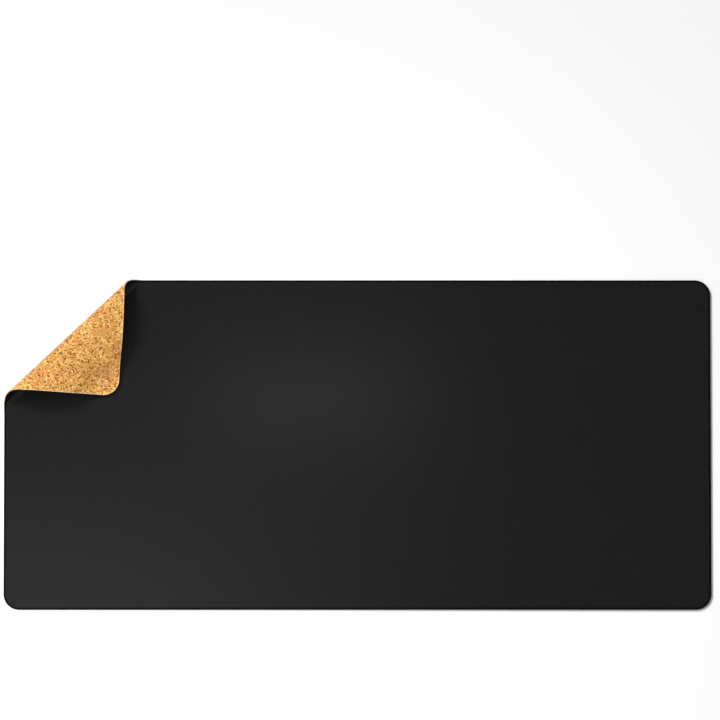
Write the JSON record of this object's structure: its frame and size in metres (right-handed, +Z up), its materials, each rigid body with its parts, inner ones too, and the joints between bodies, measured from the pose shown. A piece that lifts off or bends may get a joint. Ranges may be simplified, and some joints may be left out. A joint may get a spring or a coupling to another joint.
{
  "type": "desk mat",
  "caption": "Thin rectangular desk mat with rounded corners, black leather-like face on cork, one corner folded over on a bend that opens flat.",
  "frame": {"origin": "centre of the underside of the flat mat, on the desk", "axes": "+X along the long side to the right, +Y to the back of the desk, +Z up out of the leather face"},
  "size_m": [0.9007, 0.4308, 0.0268],
  "materials": {
    "leather_skin": "matte, fine embossed grain",
    "cork": "agglomerated cork, fine granules, sanded and sealed",
    "backing_cloth": "knitted backing, seen only at the cut edge"
  },
  "bodies": {
    "mat": {"cork_sheet_main": "cork", "backing_cloth_main": "backing_cloth", "leather_skin_main": "leather_skin"},
    "strip_01": {"cork_sheet_strip_01": "cork", "backing_cloth_strip_01": "backing_cloth", "leather_skin_strip_01": "leather_skin"},
    "strip_02": {"cork_sheet_strip_02": "cork", "backing_cloth_strip_02": "backing_cloth", "leather_skin_strip_02": "leather_skin"},
    "strip_03": {"cork_sheet_strip_03": "cork", "backing_cloth_strip_03": "backing_cloth", "leather_skin_strip_03": "leather_skin"},
    "strip_04": {"cork_sheet_strip_04": "cork", "backing_cloth_strip_04": "backing_cloth", "leather_skin_strip_04": "leather_skin"},
    "strip_05": {"cork_sheet_strip_05": "cork", "backing_cloth_strip_05": "backing_cloth", "leather_skin_strip_05": "leather_skin"},
    "strip_06": {"cork_sheet_strip_06": "cork", "backing_cloth_strip_06": "backing_cloth", "leather_skin_strip_06": "leather_skin"},
    "strip_07": {"cork_sheet_strip_07": "cork", "backing_cloth_strip_07": "backing_cloth", "leather_skin_strip_07": "leather_skin"},
    "strip_08": {"cork_sheet_strip_08": "cork", "backing_cloth_strip_08": "backing_cloth", "leather_skin_strip_08": "leather_skin"},
    "strip_09": {"cork_sheet_strip_09": "cork", "backing_cloth_strip_09": "backing_cloth", "leather_skin_strip_09": "leather_skin"},
    "strip_10": {"cork_sheet_strip_10": "cork", "backing_cloth_strip_10": "backing_cloth", "leather_skin_strip_10": "leather_skin"},
    "strip_11": {"cork_sheet_strip_11": "cork", "backing_cloth_strip_11": "backing_cloth", "leather_skin_strip_11": "leather_skin"},
    "strip_12": {"cork_sheet_strip_12": "cork", "backing_cloth_strip_12": "backing_cloth", "leather_skin_strip_12": "leather_skin"},
    "strip_13": {"cork_sheet_strip_13": "cork", "backing_cloth_strip_13": "backing_cloth", "leather_skin_strip_13": "leather_skin"},
    "strip_14": {"cork_sheet_strip_14": "cork", "backing_cloth_strip_14": "backing_cloth", "leather_skin_strip_14": "leather_skin"},
    "corner": {"cork_sheet_corner": "cork", "backing_cloth_corner": "backing_cloth", "leather_skin_corner": "leather_skin"}
  },
  "joints": [
    {"name": "fold_01", "type": "hinge", "parent": "mat", "child": "strip_01", "pos_m": [-0.36181, 0.13043, 0.002], "axis": [-0.7218, -0.6921, 0], "range_deg": [0, 25]},
    {"name": "fold_02", "type": "hinge", "parent": "strip_01", "child": "strip_02", "pos_m": [-0.36509, 0.13355, 0.00411], "axis": [-0.7218, -0.6921, 0], "range_deg": [0, 25]},
    {"name": "fold_03", "type": "hinge", "parent": "strip_02", "child": "strip_03", "pos_m": [-0.36747, 0.13573, 0.00794], "axis": [-0.7218, -0.6921, 0], "range_deg": [0, 25]},
    {"name": "fold_04", "type": "hinge", "parent": "strip_03", "child": "strip_04", "pos_m": [-0.36852, 0.13651, 0.01277], "axis": [-0.7218, -0.6921, 0], "range_deg": [0, 25]},
    {"name": "fold_05", "type": "hinge", "parent": "strip_04", "child": "strip_05", "pos_m": [-0.36807, 0.13574, 0.0177], "axis": [-0.7218, -0.6921, 0], "range_deg": [0, 25]},
    {"name": "fold_06", "type": "hinge", "parent": "strip_05", "child": "strip_06", "pos_m": [-0.36623, 0.13353, 0.02179], "axis": [-0.7218, -0.6921, 0], "range_deg": [0, 25]},
    {"name": "fold_07", "type": "hinge", "parent": "strip_06", "child": "strip_07", "pos_m": [-0.36339, 0.13026, 0.02429], "axis": [-0.7218, -0.6921, 0], "range_deg": [0, 25]},
    {"name": "fold_08", "type": "hinge", "parent": "strip_07", "child": "strip_08", "pos_m": [-0.35943, 0.12577, 0.02482], "axis": [-0.7218, -0.6921, 0], "range_deg": [0, 7.5]},
    {"name": "fold_09", "type": "hinge", "parent": "strip_08", "child": "strip_09", "pos_m": [-0.35249, 0.11789, 0.02436], "axis": [-0.7218, -0.6921, 0], "range_deg": [0, 7.5]},
    {"name": "fold_10", "type": "hinge", "parent": "strip_09", "child": "strip_10", "pos_m": [-0.34565, 0.11013, 0.02253], "axis": [-0.7218, -0.6921, 0], "range_deg": [0, 7.5]},
    {"name": "fold_11", "type": "hinge", "parent": "strip_10", "child": "strip_11", "pos_m": [-0.33904, 0.10259, 0.01938], "axis": [-0.7218, -0.6921, 0], "range_deg": [0, 7.5]},
    {"name": "fold_12", "type": "hinge", "parent": "strip_11", "child": "strip_12", "pos_m": [-0.33277, 0.09542, 0.01494], "axis": [-0.7218, -0.6921, 0], "range_deg": [0, 7.5]},
    {"name": "fold_13", "type": "hinge", "parent": "strip_12", "child": "strip_13", "pos_m": [-0.32732, 0.08922, 0.01206], "axis": [0.7218, 0.6921, 0], "range_deg": [0, 8.25]},
    {"name": "fold_14", "type": "hinge", "parent": "strip_13", "child": "strip_14", "pos_m": [-0.32221, 0.08338, 0.00857], "axis": [0.7218, 0.6921, 0], "range_deg": [0, 8.25]},
    {"name": "fold_15", "type": "hinge", "parent": "strip_14", "child": "corner", "pos_m": [-0.31681, 0.07724, 0.00622], "axis": [0.7218, 0.6921, 0], "range_deg": [0, 8.25]}
  ],
  "couplings": [
    {"joint": "fold_02", "follows": "fold_01", "ratio": 1},
    {"joint": "fold_03", "follows": "fold_01", "ratio": 1},
    {"joint": "fold_04", "follows": "fold_01", "ratio": 1},
    {"joint": "fold_05", "follows": "fold_01", "ratio": 1},
    {"joint": "fold_06", "follows": "fold_01", "ratio": 1},
    {"joint": "fold_07", "follows": "fold_01", "ratio": 1},
    {"joint": "fold_08", "follows": "fold_01", "ratio": 0.3},
    {"joint": "fold_09", "follows": "fold_01", "ratio": 0.3},
    {"joint": "fold_10", "follows": "fold_01", "ratio": 0.3},
    {"joint": "fold_11", "follows": "fold_01", "ratio": 0.3},
    {"joint": "fold_12", "follows": "fold_01", "ratio": 0.3},
    {"joint": "fold_13", "follows": "fold_01", "ratio": 0.33},
    {"joint": "fold_14", "follows": "fold_01", "ratio": 0.33},
    {"joint": "fold_15", "follows": "fold_01", "ratio": 0.33}
  ]
}
